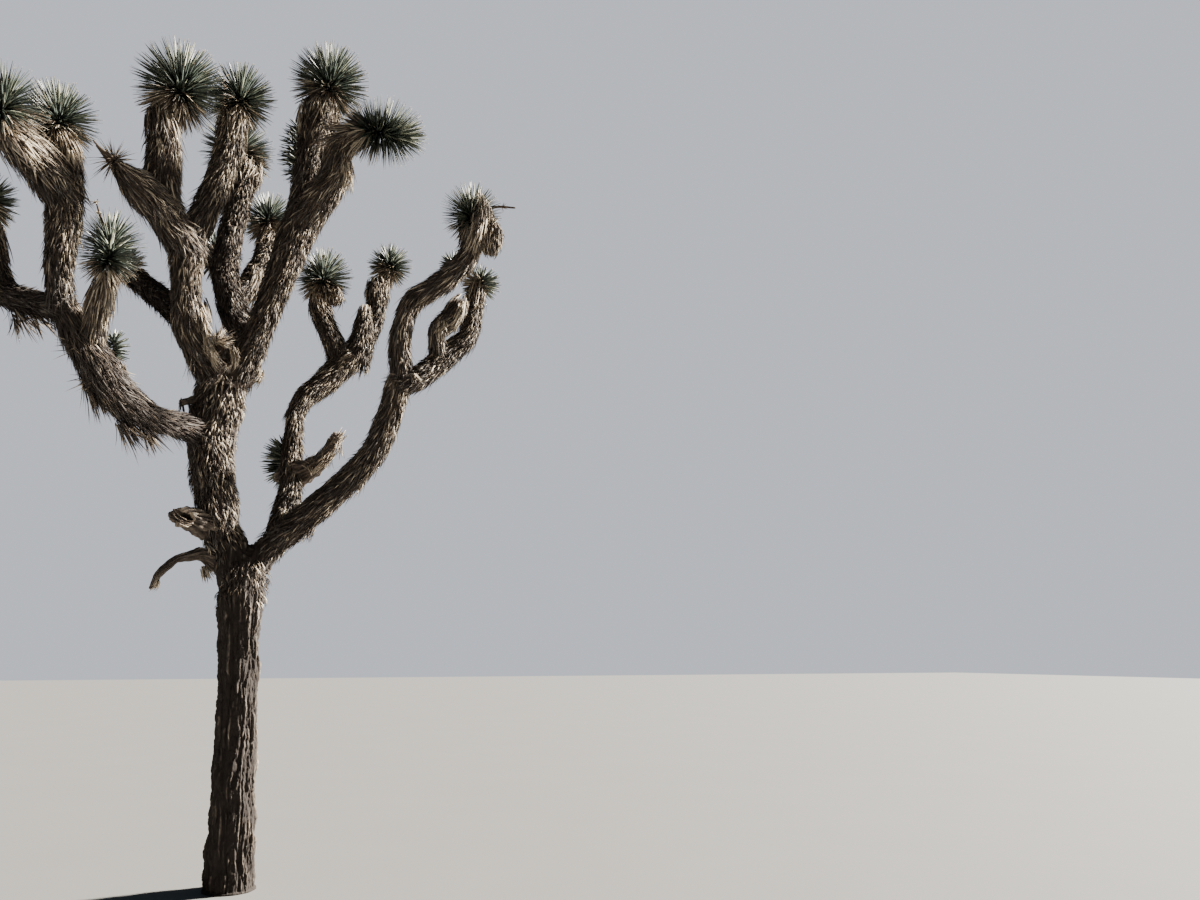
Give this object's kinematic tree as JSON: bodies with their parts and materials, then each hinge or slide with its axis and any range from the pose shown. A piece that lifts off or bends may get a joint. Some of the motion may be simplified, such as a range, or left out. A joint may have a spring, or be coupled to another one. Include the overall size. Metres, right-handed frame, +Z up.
{
  "type": "joshua tree",
  "caption": "Mature joshua tree: a furrowed trunk forks above head height into bent limbs cloaked in dead leaves, and each ends in a round head of stiff dagger leaves.",
  "frame": {"origin": "centre of the flat cut under the trunk, at ground level", "axes": "+Z up the tree, -Y its front, +X its east side, towards the low bough"},
  "size_m": [3.8965, 2.8747, 6.5343],
  "materials": {
    "bark": "deeply furrowed, matte",
    "thatch": "dry dead leaves over bark, matte",
    "bare_wood": "weathered and torn, matte",
    "living_leaves": "waxy, satin",
    "dead_leaves": "dry, matte"
  },
  "bodies": {
    "root": {"trunk": "bark", "stem": "bark", "east_bough_low": "bark", "west_bough_low": "thatch", "west_bough_high": "thatch", "west_mast": "thatch", "west_tip": "thatch", "west_side": "thatch", "far_west_bough": "thatch", "far_west_mast": "thatch", "west_spur": "thatch", "middle_bough": "thatch", "middle_left": "thatch", "middle_stub": "thatch", "middle_right": "thatch", "back_west_limb": "thatch", "high_bough": "thatch", "high_left": "thatch", "high_right": "thatch", "high_arm": "thatch", "high_back_limb": "thatch", "back_stem": "thatch", "back_left": "thatch", "back_east": "thatch", "east_bough_high": "thatch", "east_inner_low": "thatch", "east_inner_high": "thatch", "east_outer": "thatch", "east_curl": "thatch", "inner_bough_low": "thatch", "inner_bough_high": "thatch", "inner_west_limb": "thatch", "inner_knob": "thatch", "inner_east_limb": "thatch", "broken_spar": "bare_wood", "stub_hollow": "bare_wood", "stub_crooked": "bare_wood", "stub_torn": "bare_wood", "head_west_tip": "living_leaves", "head_west_side": "living_leaves", "head_west_spur": "living_leaves", "head_far_west": "living_leaves", "head_back_west": "living_leaves", "tuft_west": "living_leaves", "head_middle_left": "living_leaves", "head_middle_right": "living_leaves", "head_back_stem": "living_leaves", "head_back_left": "living_leaves", "head_back_east": "living_leaves", "head_high_left": "living_leaves", "head_high_arm": "living_leaves", "head_high_back": "living_leaves", "head_east_inner": "living_leaves", "tuft_east": "living_leaves", "head_east_outer": "living_leaves", "head_inner_west": "living_leaves", "head_inner_east": "living_leaves", "tuft_inner": "living_leaves", "skirt_east_inner": "dead_leaves", "crotch_rosette": "dead_leaves"}
  },
  "joints": []
}
